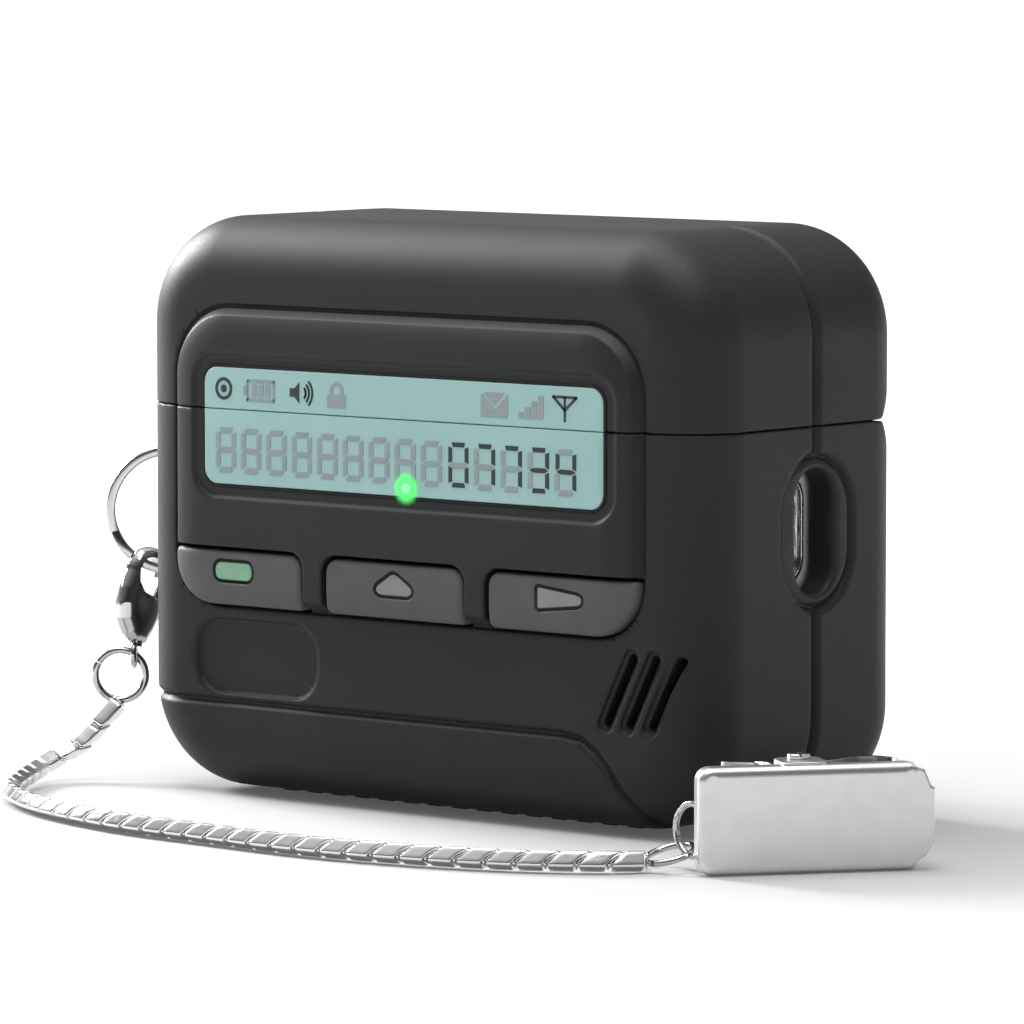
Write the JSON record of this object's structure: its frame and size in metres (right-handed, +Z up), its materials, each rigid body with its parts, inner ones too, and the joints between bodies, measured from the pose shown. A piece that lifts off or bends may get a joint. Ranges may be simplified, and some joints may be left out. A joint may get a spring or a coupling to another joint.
{
  "type": "pager-look earphone charging case cover",
  "caption": "Pager-look soft cover over a hinged earphone charging case, with display insert, soft keys, tether chain and sprung metal clip.",
  "frame": {"origin": "on the resting plane, under the middle of the cover's width and of its depth with the raised panel included", "axes": "+X to the right seen from the front, front panel and keys face -Y, +Z up"},
  "size_m": [0.0992, 0.0567, 0.053],
  "materials": {
    "silicone_dark": "matte charcoal silicone, soft touch",
    "screen_print": "printed teal display insert, smooth",
    "key_rubber": "mid grey silicone keys, matte",
    "key_lens": "green oval inlay, satin",
    "tread_rubber": "near-black ribbed rubber",
    "case_white": "glossy white moulding",
    "liner_white": "satin white moulding",
    "hinge_steel": "satin steel",
    "insert_steel": "satin steel ring band with dark lobes",
    "cell_foil": "foil pouch",
    "board_green": "green solder mask",
    "screw_steel": "plain steel",
    "coil_copper": "lacquered copper wire",
    "ferrite_dark": "dark ferrite sheet",
    "led_body": "emissive green lamp on a flexible strip",
    "pipe_clear": "emissive clear light guide",
    "speaker_black": "black speaker can",
    "magnet_nickel": "nickel plate",
    "pin_gold": "gold plated spring pins",
    "bud_white": "glossy white moulding",
    "tip_soft": "translucent white silicone",
    "grille_black": "black woven mesh",
    "contact_metal": "polished contact cap",
    "chrome_ring": "polished chrome plate",
    "spring_steel": "spring wire",
    "chain_metal": "polished chain links",
    "clip_satin": "satin nickel plate",
    "clip_steel": "bright formed steel"
  },
  "bodies": {
    "body": {"body_cover": "silicone_dark", "screen_lower": "screen_print", "base_tread": "tread_rubber", "case_shell": "case_white", "case_cradle": "liner_white", "hinge_leaf_body": "hinge_steel", "hinge_pin": "hinge_steel", "lanyard_insert": "insert_steel", "battery_cell": "cell_foil", "main_board": "board_green", "board_screws": "screw_steel", "charge_coil": "coil_copper", "coil_ferrite": "ferrite_dark", "usb_port": "screw_steel", "status_led": "led_body", "light_pipe": "pipe_clear", "case_speaker": "speaker_black", "case_magnets": "magnet_nickel", "charge_pins": "pin_gold", "bud_left_shell": "bud_white", "bud_left_tip": "tip_soft", "bud_left_grille": "grille_black", "bud_left_contact": "contact_metal", "bud_right_shell": "bud_white", "bud_right_tip": "tip_soft", "bud_right_grille": "grille_black", "bud_right_contact": "contact_metal", "split_ring": "chrome_ring", "clasp_body": "chrome_ring", "clasp_spring": "spring_steel", "clasp_eye": "chrome_ring", "jump_ring_upper": "chrome_ring", "chain": "chain_metal", "jump_ring_lower": "chrome_ring", "clip_ring": "chrome_ring", "clip_plate": "clip_satin", "clip_pin": "clip_steel", "clip_spring": "spring_steel"},
    "lid": {"lid_cover": "silicone_dark", "screen_upper": "screen_print", "lid_shell": "case_white", "lid_liner": "liner_white", "hinge_leaf_lid": "hinge_steel", "lid_magnets": "magnet_nickel"},
    "left_key": {"key_left": "key_rubber", "key_window": "key_lens"},
    "centre_key": {"key_centre": "key_rubber"},
    "right_key": {"key_right": "key_rubber"},
    "rear_button": {"pairing_button": "case_white"},
    "clasp_thumb_lever": {"clasp_lever": "chrome_ring"},
    "clip_back_jaw": {"clip_jaw": "clip_steel"}
  },
  "joints": [
    {"name": "lid_hinge", "type": "hinge", "parent": "body", "child": "lid", "pos_m": [0, 0.01415, 0.0357], "axis": [-1, 0, 0], "range_deg": [0, 88]},
    {"name": "left_key_press", "type": "slide", "parent": "body", "child": "left_key", "axis": [0, 1, 0], "range_m": [0, 0.0006], "stiffness_N_per_m": 900},
    {"name": "centre_key_press", "type": "slide", "parent": "body", "child": "centre_key", "axis": [0, 1, 0], "range_m": [0, 0.0006], "stiffness_N_per_m": 900},
    {"name": "right_key_press", "type": "slide", "parent": "body", "child": "right_key", "axis": [0, 1, 0], "range_m": [0, 0.0006], "stiffness_N_per_m": 900},
    {"name": "rear_button_press", "type": "slide", "parent": "body", "child": "rear_button", "axis": [0, -1, 0], "range_m": [0, 0.00035], "stiffness_N_per_m": 1500},
    {"name": "clasp_lever_pivot", "type": "hinge", "parent": "body", "child": "clasp_thumb_lever", "pos_m": [-0.03761, -0.00796, 0.01553], "axis": [0.9836, -0.1805, 0], "range_deg": [0, 14], "stiffness_Nm_per_rad": 0.0008},
    {"name": "clip_jaw_pivot", "type": "hinge", "parent": "body", "child": "clip_back_jaw", "pos_m": [0.0472, -0.01905, 0.0047], "axis": [0, 0, 1], "range_deg": [0, 20], "stiffness_Nm_per_rad": 0.02}
  ]
}
